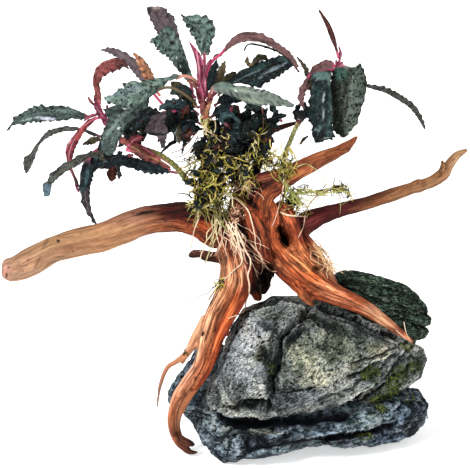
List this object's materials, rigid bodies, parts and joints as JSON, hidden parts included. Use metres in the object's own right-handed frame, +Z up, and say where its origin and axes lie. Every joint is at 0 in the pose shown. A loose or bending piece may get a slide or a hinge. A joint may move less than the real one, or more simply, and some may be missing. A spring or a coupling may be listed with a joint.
{
  "type": "bucephalandra on driftwood",
  "caption": "Aquarium plants with dark wavy leaves rooted on a branching piece of driftwood that stands on a stack of layered stones, with moss and hanging roots.",
  "frame": {"origin": "middle of the lowest stone's flat underside, on the ground", "axes": "+Z up, -Y towards the side that the picture shows, +X to the right seen from there"},
  "size_m": [0.2977, 0.1178, 0.2816],
  "materials": {
    "grey_stone": "rough weathered stone, grey-green with pale lichen",
    "dark_stone": "rough layered blue-black stone",
    "driftwood": "bare weathered root wood with deep grain, pale tan at the ends",
    "green_leaf": "wet dark green leaf",
    "red_leaf": "wet red to purple leaf",
    "rhizome": "smooth fleshy stem, red to yellow-green",
    "root": "pale thin root",
    "moss": "fine yellow-green fronds"
  },
  "bodies": {
    "root": {"back_leg": "driftwood", "back_stone": "dark_stone", "back_twig": "driftwood", "base_stone": "dark_stone", "centre_leaf_1": "green_leaf", "centre_leaf_10": "red_leaf", "centre_leaf_11": "green_leaf", "centre_leaf_12": "red_leaf", "centre_leaf_13": "green_leaf", "centre_leaf_14": "green_leaf", "centre_leaf_2": "red_leaf", "centre_leaf_3": "green_leaf", "centre_leaf_4": "green_leaf", "centre_leaf_5": "red_leaf", "centre_leaf_6": "red_leaf", "centre_leaf_7": "green_leaf", "centre_leaf_8": "green_leaf", "centre_leaf_9": "green_leaf", "centre_rhizome": "rhizome", "dark_leaf_cluster": "green_leaf", "front_stone": "grey_stone", "left_branch": "driftwood", "left_leaf_1": "green_leaf", "left_leaf_10": "red_leaf", "left_leaf_11": "red_leaf", "left_leaf_12": "red_leaf", "left_leaf_13": "red_leaf", "left_leaf_14": "red_leaf", "left_leaf_15": "green_leaf", "left_leaf_2": "red_leaf", "left_leaf_3": "red_leaf", "left_leaf_4": "green_leaf", "left_leaf_5": "red_leaf", "left_leaf_6": "red_leaf", "left_leaf_7": "green_leaf", "left_leaf_8": "green_leaf", "left_leaf_9": "green_leaf", "left_leg": "driftwood", "left_leg_twig": "driftwood", "left_rhizome": "rhizome", "moss_cushion": "moss", "moss_tuft": "moss", "right_branch": "driftwood", "right_leaf_1": "green_leaf", "right_leaf_2": "green_leaf", "right_leaf_3": "red_leaf", "right_leaf_4": "red_leaf", "right_leaf_5": "red_leaf", "right_leaf_6": "red_leaf", "right_leaf_7": "red_leaf", "right_leg": "driftwood", "right_rhizome": "rhizome", "root_1": "root", "root_2": "root", "root_3": "root", "root_4": "root", "root_5": "root", "root_6": "root", "trunk": "driftwood", "upper_branch": "driftwood"}
  },
  "joints": []
}
